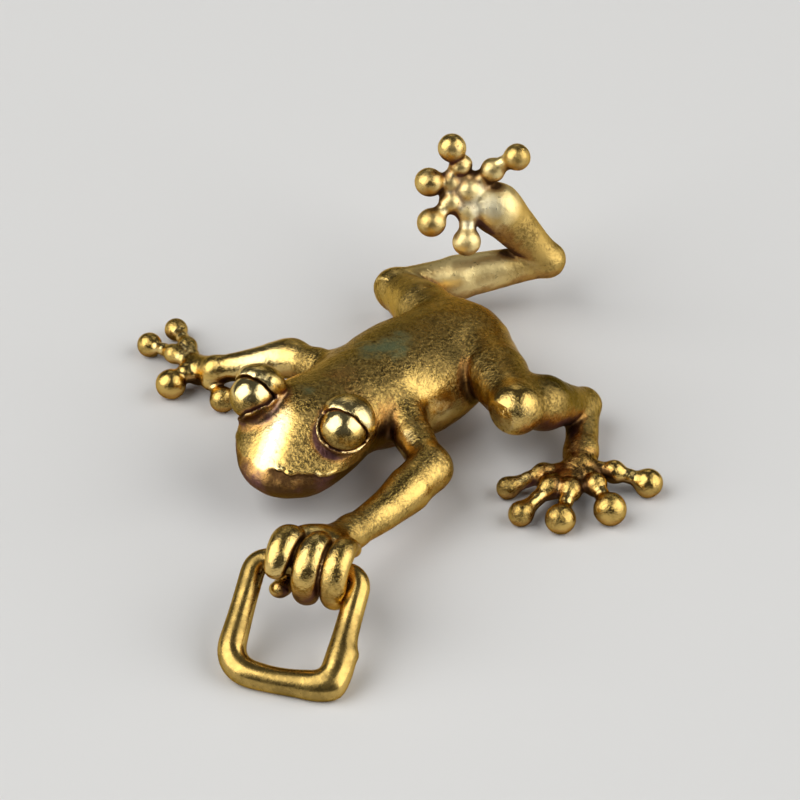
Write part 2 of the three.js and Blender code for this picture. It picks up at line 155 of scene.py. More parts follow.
# Head: places are given to the left of its middle, ahead of the neck and above the floor
SKULL = (0, 2.4, 5.6)
SKULL_RADII = (5.7, 6.4, 3.85)
SNOUT = (0, 5.7, 5.05)
SNOUT_RADII = (4.75, 5.0, 3.4)
SNOUT_FILLET = 1.6
SNOUT_SLOPE = 30
SLOPE_START = (4.6, 9.05)  # ahead of the neck and above the floor, between the eyes
SLOPE_FILLET = 1.3
SNOUT_DOME = 0.06  # fall of the slope to its sides, for each square millimetre
CHEEK = (3.7, 6.0, 6.6)
CHEEK_RADII = (1.7, 2.2, 1.7)
CHEEK_FILLET = 1.4

# Mouth: waves are given by height, turn for each millimetre and start, and a pair of places says where a
# thing starts to show and where it shows in full
LIP_AHEAD = 9.5  # where the mouth line crosses the front of the snout, and its height there
LIP_HEIGHT = 6.0
MOUTH_TILT = 0.2  # fall of the mouth line for each millimetre towards the cheek
LIP_WAVES = [(0.1, 2.3, 0.4), (0.06, 5.1, 1.0), (0.02, 9.7, 2.2)]
LIP_EVENNESS = 0.8
LIP_NOTCHES = [(0.25, 6.1, 2.0), (0.1, 10.7, 0.0)]
LIP_WIDTH = 0.2
LIP_RIDGE = 0.12
LIP_OVERHANG = 0.26
LIP_UNDERCUT = (-0.1, 0.3)
UNDERCUT_FADE = 1.2
LEFT_LIP = [(-0.3, 1.0), (6.2, 4.8)]
RIGHT_LIP = (-2.4, -4.2)
RIGHT_LIP_SHARE = 0.25
MOUTH_FRONT = (2.0, 5.0)
JAW_TOP = (-0.1, 0.4)
JAW_SIDES = (6.5, 5.0)

# Eyes and lids
EYE_RADII = {"left": 2.1, "right": 1.98}
EYE_AHEAD = 4.9
EYE_HEIGHT = 9.0
EYE_SIDES = {"left": 4.85, "right": -4.55}
EYE_SEAT = 0.04  # how deep the eyeball is pressed into its lids
LID_RADII = (2.68, 2.3, 2.85)  # across the head, up the lid and along its axis
LID_SHIFT = 0.6
LID_INSET = 0.15
LID_LEAN = 72
LID_EDGES = {"left": 0.5, "right": 0.8}
LID_LIP = 0.26  # thickness of the lid at its edge, and how fast it grows behind it
LID_FLARE = 0.8
LID_WAVES = [(0.04, 3.9, 0.7), (0.025, 8.3, 0.0)]
LID_FILLET = 0.3
LID_EDGE_FILLET = 0.1
CUP_WALL = 0.18
CUP_RIDGE = 0.14
CUP_RIDGE_WIDTH = 0.3
CUP_RUN = (1.3, 0.9)  # how fast the waves of the rim run to the left and ahead
# Rim of the lower lid: a plane that faces outward, ahead and up, how far it lies from the middle of the
# eye, and the fillet below it
LOWER_LIDS = {"left": ((0.36, 0.26, 0.9), 0.0, 0.3), "right": ((0.67, -0.23, 0.71), -1.2, 1.3)}

# Ring and fist
WIRE_RADIUS = 1.15  # room that the wire needs in the fist
BAR_GAP = 0.25
BAR_REACH = 8.0  # half the length of the channel for the ring's bar
PALM_BACK = 2.1
PALM_RISE = 0.1
PALM_RADII = (3.3, 2.4, 2.2)
PALM_FILLET = 1.2
WRIST_RADII = (1.45, 1.8)
RING_WIDTH = 9.35
RING_DROP = 10.2
RING_YAW = 30
FINGER_MIDDLE = 0.4
FINGER_PITCH = 2.48
FINGER_ARC = 2.35
FINGER_FLATNESS = 1.2
FINGER_RADII = {1: 1.42, 2: 1.3, 3: 1.24}
FINGER_TIP = 0.95
FINGER_START = 150
FINGER_ENDS = {1: 22, 2: -82, 3: -90}
FINGER_SLANT = 0.5
FINGER_ROOT = 0.75  # width of a finger at its root, as a share of its full width, and where it reaches that
FINGER_SWELL = 0.35
THUMB_SPAN = (-160, -62)
THUMB_RADIUS = 0.95

# Surface of the casting
WAX_WAVES = (6.1, 4.7, 3.7, 3.1, 2.3, 1.6, 1.3, 1.1)  # lengths of the waves in its lumps
WAX_HEIGHT = 0.004  # height of a wave for each millimetre of its length
FLOOR_FILLET = 0.1
OPEN_DISTANCES = ((0.2, 0.3), (0.45, 0.3), (0.9, 0.25), (1.6, 0.15))  # outward, with the weight of each
RIDGE_DISTANCES = ((0.5, 0.5), (1.0, 0.5))  # inward, with the weight of each
POLISH_RANGE = (-1.5, 1)
# Painted shade: patina colour laid on surfaces that face down
UNDERSIDE_PAINTED_SHADE = 0.42
UNDERSIDE = (-0.35, 0.55)  # how far down a surface faces where this painted shade starts, and where it is full
LIP_SHINE = 0.3
LIP_CLEANNESS = 0.5
LIP_SHADE = 0.25
# Painted shade on the jaw below the mouth line
JAW_PAINTED_SHADE = 0.36
EYE_STAIN = 0.26  # patina round the front of each eye
EYE_STAIN_GAP = 0.65  # how far outside the eyeball it lies, and how far it reaches
EYE_STAIN_REACH = 0.4
EYE_STAIN_FRONT = (-0.8, 0.2)
EYE_STAIN_INNER = (-0.5, 1.0)
EYE_STAIN_OUTSIDE = 0.35  # its share on the side away from the other eye
EYE_STAIN_EVENNESS = 0.8
EYE_STAIN_PATCHES = 14.0  # how strongly the lumps of the wax break it up
EYE_STAIN_RANGE = (0.1, 1.3)
EYE_POLISH = 0.6
# Painted shade on the lower half of each eyeball, and how far down it starts and is full
EYE_PAINTED_SHADE = 1.5
EYE_UNDERSIDE = (-0.7, 0.2)
EYE_OPEN_DISTANCES = (0.3, 0.8)

UP = np.array([0.0, 0.0, 1.0])


def stride(length, yaw, pitch=0):
    """A step of a given length, yaw from straight ahead to the left, and pitch above level."""
    level = length * math.cos(math.radians(pitch))
    x = level * math.sin(math.radians(yaw))
    y = -level * math.cos(math.radians(yaw))
    return np.array([x, y, length * math.sin(math.radians(pitch))])


def chain(root, segments):
    joints = [np.array(root, float)]
    for segment in segments:
        joints.append(joints[-1] + stride(*segment))
    return joints


def mirrored(point):
    return (-point[0], point[1], point[2])


def unit(vector):
    return vector / np.linalg.norm(vector)


left_arm = chain(SHOULDER, LEFT_ARM)
right_arm = chain(mirrored(SHOULDER), RIGHT_ARM)
left_leg = chain(HIP, LEFT_LEG)
right_leg = chain(mirrored(HIP), RIGHT_LEG)
right_arm[-1][2] = SOLE_HEIGHT
left_leg[-1][2] = SOLE_HEIGHT

head_ahead = stride(1, HEAD_YAW)
head_left = np.cross(UP, head_ahead)
head_axes = np.array([head_left, head_ahead, UP])
grip = left_arm[-1]
grip_ahead = stride(1, RING_YAW)
grip_left = np.cross(UP, grip_ahead)
grip_axes = np.array([grip_left, grip_ahead, UP])


def on_head(left, ahead, height):
    return np.array(NECK) + np.array([left, ahead, height]) @ head_axes


eyes = {side: on_head(out, EYE_AHEAD, EYE_HEIGHT) for side, out in EYE_SIDES.items()}

# Spots of painted highlight where the amount is above 0, and of painted shade where it is below 0: place,
# reach and amount
PAINTED_LIGHT_SPOTS = [
    (on_head(-1.7, 4.8, 8.6), 1.5, 0.7),
    (on_head(-1.2, 6.7, 7.9), 1.7, 0.9),
    (on_head(-0.7, 8.6, 6.9), 1.6, 0.8),
    (on_head(-0.9, 10.0, 6.4), 1.5, 0.8),
    (on_head(-4.3, 6.6, 6.2), 2.2, -1.1),
    (on_head(-3.6, 7.6, 4.9), 1.6, -0.6),
    (on_head(-2.2, 8.8, 3.6), 2.2, -0.9),
    (on_head(0.3, 1.8, 9.4), 3.2, -0.7),
    (on_head(1.8, 6.6, 7.6), 1.6, -0.5),
    (on_head(2.2, 8.6, 3.6), 3.2, -0.9),
    (on_head(5.2, 4.2, 5.4), 2.4, -0.6),
    ((3.2, -7.0, 7.6), 2.4, -0.8),
    ((3.4, -3.6, 7.5), 1.5, 0.6),
    ((5.9, -2.2, 5.4), 1.8, 0.6),
    ((7.7, -8.9, 5.5), 1.3, 0.8),
    ((4.6, 1.2, 7.4), 3.0, -0.9),
    (grip + 1.5 * UP, 4.0, 0.35),
    ((13.7, -16.9, 7.0), 3.0, 0.05),
    ((-10.9, -10.2, 5.5), 3.4, 0.6),
    ((-5.0, 14.8, 13.0), 2.6, 0.9),
    ((-6.9, 13.9, 5.2), 5.0, 0.6),
    ((-4.4, 18.1, 8.8), 2.5, -0.5),
    ((13.3, -0.3, 8.0), 2.4, 0.5),
    ((-1.0, 0.5, 10.0), 6.0, -0.9),
    ((12.7, 4.6, 7.6), 3.4, -1.4),
    ((14.0, 7.0, 3.0), 3.6, -0.9),
    (right_leg[-1], 6.5, 0.45),
]
# Painted shade on the backs of the upper lids too
PAINTED_LIGHT_SPOTS += [(centre - 2.2 * head_ahead + 1.6 * UP, 1.5, -0.7) for centre in eyes.values()]
# Spots of painted shade in patina colours: on the cheek, in the armpit, on the neck, under the fingers
# and on the standing foot
PAINTED_SHADE_SPOTS = [
    (on_head(5.6, 3.0, 4.6), 2.4, 0.3),
    ((4.4, -8.4, 5.2), 2.4, 0.3),
    ((0.2, -9.6, 9.2), 2.4, 0.2),
    (grip + 2.0 * grip_ahead - 3.0 * UP, 3.0, 0.7),
    (left_leg[-1] + UP, 4.2, 0.25),
]
# Places that are brushed to a satin finish: the raised foot and the shank below it
SATIN = [((-6.5, 17.0, 11.0), 7.0, 1.0), ((-7.0, 16.0, 4.2), 7.0, 1.0)]
# Places where verdigris gathers
GREENED = [
    ((0.3, -2.7, 9.3), 2.6, 0.8),
    ((-1.4, -4.6, 9.3), 2.4, 0.6),
    (on_head(0.4, 1.6, 9.4), 2.2, 0.5),
]


# Distance fields


def smooth_min(a, b, k):
    h = np.maximum(k - np.abs(a - b), 0) / k
    return np.minimum(a, b) - h * h * k / 4


def smooth_max(a, b, k):
    return -smooth_min(-a, -b, k)


def smooth_step(x, low, high):
    t = np.clip((x - low) / (high - low), 0, 1)
    return t * t * (3 - 2 * t)


def waves(along, table):
    """Sum of sine waves, each given by its height, its turn for each millimetre and its start."""
    return sum(height * np.sin(turn * along + start) for height, turn, start in table)


def ball(points, centre, radius):
    return np.linalg.norm(points - centre, axis=1) - radius


def ellipsoid(points, centre, radii, axes=np.eye(3)):
    """axes holds the directions of the three radii as rows."""
    local = (points - centre) @ np.transpose(axes)
    radii = np.array(radii)
    near = np.linalg.norm(local / radii, axis=1)
    slope = np.linalg.norm(local / radii**2, axis=1)
    return near * (near - 1) / np.maximum(slope, 1e-9)


def tube(points, path, radii, k=0.25):
    """Round tube along a path, with a radius at each point of the path that swells and tapers smoothly."""
    total = None
    for start, end, first, last in zip(path, path[1:], radii, radii[1:]):
        along = end - start
        t = np.clip((points - start) @ along / (along @ along), 0, 1)
        radius = first + (last - first) * t * t * (3 - 2 * t)
        distance = np.linalg.norm(points - start - t[:, None] * along, axis=1) - radius
        total = distance if total is None else smooth_min(total, distance, k)
    return total


def corner(points, before, joint, after, push, radius):
    """The bony point on the outer side of a bent joint."""
    outward = unit(unit(joint - before) + unit(joint - after))
    return ball(points, joint + push * outward, radius)


def torso(points):
    belly, chest, rump = [ellipsoid(points, *mass) for mass in TORSO_MASSES]
    return smooth_min(smooth_min(belly, chest, TORSO_FILLET), rump, TORSO_FILLET)


def head(points):
    skull = ellipsoid(points, on_head(*SKULL), SKULL_RADII, head_axes)
    snout = ellipsoid(points, on_head(*SNOUT), SNOUT_RADII, head_axes)
    form = smooth_min(skull, snout, SNOUT_FILLET)
    for side in (1, -1):
        cheek = ellipsoid(points, on_head(side * CHEEK[0], *CHEEK[1:]), CHEEK_RADII, head_axes)
        form = smooth_min(form, cheek, CHEEK_FILLET)
    left, ahead, height = ((points - np.array(NECK)) @ head_axes.T).T
    slope = math.radians(SNOUT_SLOPE)
    top = SLOPE_START[1] - SNOUT_DOME * left**2
    ramp = (ahead - SLOPE_START[0]) * math.sin(slope) + (height - top) * math.cos(slope)
    form = smooth_max(form, ramp, SLOPE_FILLET)
    edge, below, _ = lip(points)
    form = form + LIP_OVERHANG * below - LIP_RIDGE * edge
    for side, (_, _, fillet) in LOWER_LIDS.items():
        form = smooth_min(form, eye_cup(points, side), fillet)
    return form


def lip(points):
    """The jagged lip edge, the groove below it and the jaw, which is painted in shade: about 1 there, 0
    elsewhere.
    """
    left, ahead, height = ((points - np.array(NECK)) @ head_axes.T).T
    depth = LIP_HEIGHT + MOUTH_TILT * (ahead - LIP_AHEAD) + waves(left, LIP_WAVES) - height
    edge = np.exp(-(((depth + LIP_WIDTH) / LIP_WIDTH) ** 2))
    edge *= LIP_EVENNESS + waves(left, LIP_NOTCHES)
    below = smooth_step(depth, *LIP_UNDERCUT) * np.exp(-np.maximum(depth, 0) / UNDERCUT_FADE)
    inner, outer = [smooth_step(left, *ends) for ends in LEFT_LIP]
    kept = inner * outer + RIGHT_LIP_SHARE * smooth_step(left, *RIGHT_LIP)
    front = smooth_step(ahead, *MOUTH_FRONT)
    jaw = smooth_step(depth, *JAW_TOP) * smooth_step(np.abs(left), *JAW_SIDES)
    return edge * kept * front, below * kept * front, jaw * front


def eye_cup(points, side):
    """The lower lid: a thin cup round the underside of the eyeball."""
    (out, ahead, up), height, _ = LOWER_LIDS[side]
    facing = unit(math.copysign(out, EYE_SIDES[side]) * head_left + ahead * head_ahead + up * UP)
    place = points - eyes[side]
    along = place @ (CUP_RUN[0] * head_left + CUP_RUN[1] * head_ahead)
    rim = place @ facing - height + waves(along, LID_WAVES)
    wall = CUP_WALL + CUP_RIDGE * np.exp(-((rim / CUP_RIDGE_WIDTH) ** 2))
    return smooth_max(ball(points, eyes[side], EYE_RADII[side] + wall), rim, LID_EDGE_FILLET)


def eyelid(points, side):
    """The upper lid: a hood over the back of the eyeball that thins towards its front edge."""
    lean = math.radians(LID_LEAN)
    axis = math.cos(lean) * UP - math.sin(lean) * head_ahead
    axes = np.array([head_left, np.cross(axis, head_left), axis])
    inward = -math.copysign(LID_INSET, EYE_SIDES[side]) * head_left
    hood = ellipsoid(points, eyes[side] + LID_SHIFT * axis + inward, LID_RADII, axes)
    across, _, behind = ((points - eyes[side]) @ axes.T).T
    behind = behind - LID_EDGES[side] + waves(across, LID_WAVES)
    outer = ball(points, eyes[side], EYE_RADII[side] + LID_LIP + LID_FLARE * behind)
    return smooth_max(smooth_max(hood, outer, LID_FILLET), -behind, LID_EDGE_FILLET)


def upper_arm(points, arm, radii):
    middle = (arm[0] + arm[1]) / 2
    return tube(points, [arm[0], middle, arm[1]], radii)


def forearm(points, arm, radii, sag=0.0):
    """radii are those at the elbow, the muscle and the wrist, and sag is how far the muscle hangs."""
    along = arm[2] - arm[1]
    t = np.clip((points - arm[1]) @ along / (along @ along), 0, 1)
    bow = 4 * sag * t[:, None] * (1 - t[:, None]) * np.array(FOREARM_BOW)
    stations = smooth_step(np.array([0, MUSCLE_PLACE, 1]), MUSCLE_EASE, 1)
    radius = np.interp(smooth_step(t, MUSCLE_EASE, 1), stations, radii)
    limb = np.linalg.norm(points - arm[1] - t[:, None] * along - bow, axis=1) - radius
    elbow = arm[1] + ELBOW_SLIDE * unit(along)
    bone = corner(points, arm[0], elbow, arm[2], ELBOW_PUSH, ELBOW_RADIUS)
    return smooth_min(limb, bone, ELBOW_FILLET)


def thigh(points, leg, radii):
    middle = leg[0] + THIGH_PLACE * (leg[1] - leg[0])
    return tube(points, [leg[0], middle, leg[1]], radii)


def shank(points, leg, radii, calf_lift):
    calf = leg[1] + CALF_PLACE * (leg[2] - leg[1]) + calf_lift * UP
    limb = tube(points, [leg[1], calf, leg[2]], radii, CALF_FILLET)
    knee = corner(points, leg[0], leg[1], leg[2], KNEE_PUSH, radii[0] - KNEE_PUSH)
    return smooth_min(limb, knee, KNEE_FILLET)


def toe(points, sole, tip, pad_radius, stoutness):
    """A toe with a knuckle halfway along it and a round pad at its tip."""
    def at(share):
        return sole + share * (tip - sole) + TOE_ARCH * math.sin(math.pi * share) * UP

    stem = tube(points, [at(share) for share in TOE_PLACES], stoutness * np.array(TOE_RADII))
    return smooth_min(stem, ball(points, tip, pad_radius), PAD_FILLET)


def foot(points, stem, radii, toes, standing, stoutness=1.0):
    sole = stem[-1]
    total = tube(points, stem, radii, TARSUS_FILLET)
    if not standing:
        pad = ball(points, sole + SOLE_PAD_RISE * np.array(SOLE_FACING), SOLE_PAD_RADIUS)
        total = smooth_min(total, pad, SOLE_PAD_FILLET)
    for length, yaw, pitch, pad_radius in toes:
        tip = sole + stride(length, yaw, pitch)
        if standing:
            tip[2] = pad_radius - PAD_SINK
        total = smooth_min(total, toe(points, sole, tip, pad_radius, stoutness), TOE_FILLET)
    return total


def palm(points):
    heel = grip - PALM_BACK * grip_ahead + PALM_RISE * UP
    pad = ellipsoid(points, heel, PALM_RADII, grip_axes)
    wrist = tube(points, [left_arm[2], heel], WRIST_RADII)
    return smooth_min(pad, wrist, PALM_FILLET)


def curled(points, place, start, end, radius):
    """Finger or thumb curled about the bar from one angle to another, where 0 is ahead and 90 up."""
    left, ahead, up = ((points - grip) @ grip_axes.T).T
    left = left - FINGER_MIDDLE
    middle = math.radians((start + end) / 2)
    half = math.radians(abs(start - end) / 2)
    turn = np.arctan2(up, ahead) - middle
    turn = np.clip(np.arctan2(np.sin(turn), np.cos(turn)), -half, half)
    share = 0.5 + 0.5 * turn / half * (1 if end > start else -1)
    angle = middle + turn
    aside = left - place + FINGER_SLANT * (share - 0.5)
    apart = np.hypot(ahead - FINGER_ARC * np.cos(angle), up - FINGER_ARC * np.sin(angle))
    root = radius * (FINGER_ROOT + (1 - FINGER_ROOT) * smooth_step(share, 0, FINGER_SWELL))
    return np.hypot(aside, FINGER_FLATNESS * apart) - root - (FINGER_TIP - radius) * share**3


def finger(points, number):
    place = (number - 2) * FINGER_PITCH
    return curled(points, place, FINGER_START, FINGER_ENDS[number], FINGER_RADII[number])


def thumb(points):
    return curled(points, -FINGER_PITCH, *THUMB_SPAN, THUMB_RADIUS)


# Every node of the casting, in the order it is joined on, with its radii from the body outward and the size
# of the fillet where it joins
FORMS = {
    "torso": (torso, 1.0),
    "head": (head, 2.2),
    "left_eyelid": (lambda p: eyelid(p, "left"), 0.3),
    "right_eyelid": (lambda p: eyelid(p, "right"), 0.3),
    "left_upper_arm": (lambda p: upper_arm(p, left_arm, [2.2, 1.75, 1.6]), 0.6),
    "left_forearm": (lambda p: forearm(p, left_arm, [1.85, 2.1, 1.5], 0.45), 0.8),
    "right_upper_arm": (lambda p: upper_arm(p, right_arm, [2.1, 1.65, 1.5]), 0.8),
    "right_forearm": (lambda p: forearm(p, right_arm, [1.6, 1.65, 1.2]), 0.8),
    "left_thigh": (lambda p: thigh(p, left_leg, [2.7, 2.75, 2.0]), 0.8),
    "left_shank": (lambda p: shank(p, left_leg, [1.9, 2.35, 1.6], 0.5), 1.4),
    "right_thigh": (lambda p: thigh(p, right_leg, [2.7, 2.6, 1.95]), 0.8),
    "right_shank": (lambda p: shank(p, right_leg, [1.9, 1.95, 1.6], 0.0), 0.5),
    "right_hand": (
        lambda p: foot(p, right_arm[2:], [1.25, 1.4], RIGHT_HAND_TOES, True, HAND_STOUTNESS), 0.5
    ),
    "left_foot": (lambda p: foot(p, left_leg[2:], [1.55, 1.45, 1.5], LEFT_FOOT_TOES, True), 0.5),
    "right_foot": (lambda p: foot(p, right_leg[2:], [1.65, 2.2, 1.65], RIGHT_FOOT_TOES, False), 0.5),
    "left_palm": (palm, 0.6),
    "left_finger_1": (lambda p: finger(p, 1), 0.25),
    "left_finger_2": (lambda p: finger(p, 2), 0.25),
    "left_finger_3": (lambda p: finger(p, 3), 0.25),
    "left_thumb": (thumb, 0.16),
}


def reach_of(node):
    low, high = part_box(node)
    return np.array(low) / MM - NODE_REACH, np.array(high) / MM + NODE_REACH


REACHES = {node: reach_of(node) for node in FORMS}


def node_distances(points):
    """Distance to each node's own form, as one row per node."""
    rows = np.full((len(FORMS), len(points)), FAR)
    for row, (node, (form, _)) in zip(rows, FORMS.items()):
        low, high = REACHES[node]
        near = np.all((points > low) & (points < high), axis=1)
        if near.any():
            row[near] = form(points[near])
    return rows


def unevenness(points):
    """The slight lumps of a hand-finished wax model, a few hundredths of a millimetre high."""
    total = np.zeros(len(points))
    for i, length in enumerate(WAX_WAVES):
        # Each wave runs its own way and has its own start
        turn = 2.4 * i
        lift = math.sin(1.7 * i)
        start = 1.3 * i
        level = math.sqrt(1 - lift * lift)
        direction = np.array([level * math.cos(turn), level * math.sin(turn), lift])
        total += WAX_HEIGHT * length * np.sin(points @ direction * (2 * math.pi / length) + start)
    return total


def casting(points):
    """The whole casting: the joined forms, less the eyes, the channel of the ring's bar and the floor."""
    total = np.full(len(points), FAR)
    for row, (_, fillet) in zip(node_distances(points), FORMS.values()):
        total = smooth_min(total, row, fillet)
    total = total + unevenness(points)
    for side, centre in eyes.items():
        total = np.maximum(total, -ball(points, centre, EYE_RADII[side] - EYE_SEAT))
    bar = [grip - BAR_REACH * grip_left, grip + BAR_REACH * grip_left]
    total = np.maximum(total, -tube(points, bar, [WIRE_RADIUS + BAR_GAP] * 2))
    return smooth_max(total, -points[:, 2], FLOOR_FILLET)


# Meshing of the field


def sample(field):
    """Values of the field on a grid of voxels, worked out only in blocks that the surface may pass."""
    low = np.array(cad_low) / MM - MARGIN
    side = VOXEL * BLOCK
    counts = np.ceil((np.array(cad_high) / MM + MARGIN - low) / side).astype(int)
    corners = np.stack(np.meshgrid(*[np.arange(n) for n in counts], indexing="ij"), -1).reshape(-1, 3)
    middles = field(low + side * (corners + 0.5))
    values = np.repeat(np.sign(middles).astype(np.float32), BLOCK**3).reshape(-1, BLOCK, BLOCK, BLOCK)
    near = np.flatnonzero(np.abs(middles) < BLOCK_REACH * side + FIELD_SLACK)
    inner = np.stack(np.meshgrid(*[np.arange(BLOCK)] * 3, indexing="ij"), -1).reshape(-1, 3)
    for chunk in np.array_split(near, len(near) // CHUNK + 1):
        points = low + VOXEL * (corners[chunk][:, None, :] * BLOCK + inner[None, :, :])
        values[chunk] = field(points.reshape(-1, 3)).reshape(-1, BLOCK, BLOCK, BLOCK)
    values = values.reshape(*counts, BLOCK, BLOCK, BLOCK).transpose(0, 3, 1, 4, 2, 5)
    return values.reshape(counts * BLOCK), low


def shifted(grid, start, end):
    return grid[tuple(slice(s, n + e) for s, n, e in zip(start, grid.shape, end))]


def surface_nets(values, low):
    """One vertex in each voxel that the surface crosses, and one quad across each crossed grid edge."""
    inside = values < 0
    steps = np.eye(3, dtype=int)
    corners = [np.array(c) for c in np.ndindex(2, 2, 2)]
    total = sum(shifted(inside, c, c - 1).astype(np.int8) for c in corners)
    cells = np.argwhere((total > 0) & (total < 8))
    number = np.full(total.shape, -1, np.int32)
    number[tuple(cells.T)] = np.arange(len(cells))
    place = np.zeros((len(cells), 3))
    count = np.zeros(len(cells))
    for start in corners:
        for step in steps[start == 0]:
            first = values[tuple((cells + start).T)]
            last = values[tuple((cells + start + step).T)]
            crossed = (first < 0) != (last < 0)
            t = np.where(crossed, first / np.where(crossed, first - last, 1), 0)
            place += crossed[:, None] * (start + t[:, None] * step)
            count += crossed
    vertices = low + VOXEL * (cells + place / count[:, None])
    quads = []
    for axis, step in enumerate(steps):
        u = steps[(axis + 1) % 3]
        v = steps[(axis + 2) % 3]
        here = shifted(inside, 0 * step, -step)
        beyond = shifted(inside, step, 0 * step)
        for found, order in ((np.argwhere(here & ~beyond), 1), (np.argwhere(beyond & ~here), -1)):
            around = [found - u - v, found - v, found, found - u][::order]
            quads.append(np.stack([number[tuple(cell.T)] for cell in around], 1))
    return vertices, np.concatenate(quads)


def gradient(field, points, h=0.04):
    """How the field changes for each millimetre along each axis, from values at h to both sides."""
    axes = []
    for axis in np.eye(3):
        axes.append((field(points + h * axis) - field(points - h * axis)) / (2 * h))
    return np.stack(axes, 1)


def settle(field, points):
    """Moves the points onto the surface of the field, and gives the normals there."""
    for _ in range(SETTLE_STEPS):
        slope = gradient(field, points)
        move = field(points)[:, None] * slope / np.maximum((slope * slope).sum(1), 0.1)[:, None]
        length = np.linalg.norm(move, axis=1, keepdims=True)
        points = points - move * np.minimum(1, SETTLE_STRIDE * VOXEL / np.maximum(length, 1e-9))
    slope = gradient(field, points)
    return points, slope / np.linalg.norm(slope, axis=1, keepdims=True)


# Wear, patina, painted highlight and painted shade, worked out at points of the skin


def gathered(points, places):
    """Sum of soft round spots, each given by its place, reach and amount."""
    total = np.zeros(len(points))
    for place, reach, amount in places:
        total += amount * np.exp(-((np.linalg.norm(points - np.array(place), axis=1) / reach) ** 2))
    return total


def with_eyes(points):
    total = casting(points)
    for side, centre in eyes.items():
        total = np.minimum(total, ball(points, centre, EYE_RADII[side]))
    return total


def eye_stain(points):
    """The uneven stain round the front of each eye, strongest on the side towards the other eye."""
    total = np.zeros(len(points))
    for side, centre in eyes.items():
        place = points - centre
        off = ball(points, centre, EYE_RADII[side] + EYE_STAIN_GAP) / EYE_STAIN_REACH
        inward = -math.copysign(1, EYE_SIDES[side]) * (place @ head_left)
        front = smooth_step(place @ head_ahead, *EYE_STAIN_FRONT)
        share = EYE_STAIN_OUTSIDE + (1 - EYE_STAIN_OUTSIDE) * smooth_step(inward, *EYE_STAIN_INNER)
        total += np.exp(-(off**2)) * front * share
    return total * np.clip(EYE_STAIN_EVENNESS + EYE_STAIN_PATCHES * unevenness(points), *EYE_STAIN_RANGE)


def patina_and_painted_shade(points, normals):
    """Patina in the creases, plus painted shade under the frog, on the jaw and on the spots: 0 when open,
    about 1 in a groove.
    """
    edge, below, jaw = lip(points)
    # Painted shade on surfaces that face down, on the listed spots and on the jaw
    total = UNDERSIDE_PAINTED_SHADE * smooth_step(-normals[:, 2], *UNDERSIDE) + gathered(points, PAINTED_SHADE_SPOTS)
    total += LIP_SHADE * below + JAW_PAINTED_SHADE * jaw - LIP_CLEANNESS * np.maximum(edge, 0)
    total += EYE_STAIN * eye_stain(points)
    # Patina in the creases
    for distance, weight in OPEN_DISTANCES:
        total += weight * (1 - with_eyes(points + distance * normals) / distance)
    return np.clip(total, 0, 1)


def polish_and_painted_light(points, normals):
    """Wear on the ridges, plus painted highlight and painted shade spots: about 1 on ridges and highlights,
    below 0 in shade.
    """
    edge, _, _ = lip(points)
    # Painted highlights and painted shade from the listed spots, and shine on the lip edge
    total = gathered(points, PAINTED_LIGHT_SPOTS) + LIP_SHINE * np.maximum(edge, 0)
    for distance, weight in RIDGE_DISTANCES:
        total += weight * np.maximum(1 + with_eyes(points - distance * normals) / distance, 0)
    return np.clip(total, *POLISH_RANGE)


# Pieces


def ready(name, vertices, faces, body, material, normals=None):
    """Makes a mesh object in millimetres ride on a body."""
    mesh = bpy.data.meshes.new(name)
    mesh.from_pydata((vertices * MM).tolist(), [], faces)
    mesh.validate()
    mesh.shade_smooth()
    if normals is not None:
        mesh.normals_split_custom_set_from_vertices(normals.tolist())
    piece = bpy.data.objects.new(name, mesh)
    bpy.context.collection.objects.link(piece)
    mesh.materials.append(material)
    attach(piece, body)
    return piece


def write_attribute(piece, name, values):
    attribute = piece.data.attributes.new(name, "FLOAT", "POINT")
    attribute.data.foreach_set("value", np.asarray(values, np.float32))


def owners(vertices, quads):
    """The node that each quad belongs to. Votes among neighbours smooth the lines between nodes."""
    owner = np.argmin(node_distances(vertices), axis=0)
    for _ in range(VOTE_ROUNDS):
        votes = np.zeros((len(vertices), len(FORMS)), np.int16)
        for corner_index in range(4):
            for other in range(4):
                np.add.at(votes, (quads[:, corner_index], owner[quads[:, other]]), 1)
        owner = votes.argmax(1)
    counts = np.stack([(owner[quads] == n).sum(1) for n in range(len(FORMS))], 1)
    return counts.argmax(1)


def rims(faces):
    """The open edges of a part of the skin, as loops that pass no vertex twice."""
    uses = Counter()
    for face in faces:
        uses.update(zip(face, face[1:] + face[:1]))
    follows = {}
    for (start, end), count in uses.items():
        for _ in range(count - uses[end, start]):
            follows.setdefault(end, []).append(start)
    loops = []
    while follows:
        loop = [min(follows)]
        while loop[-1] in follows:
            here = loop[-1]
            following = follows[here].pop()
            if not follows[here]:
                del follows[here]
            if following in loop:
                first = loop.index(following)
                loops.append(loop[first:])
                loop = loop[:first]
            loop.append(following)
    return loops


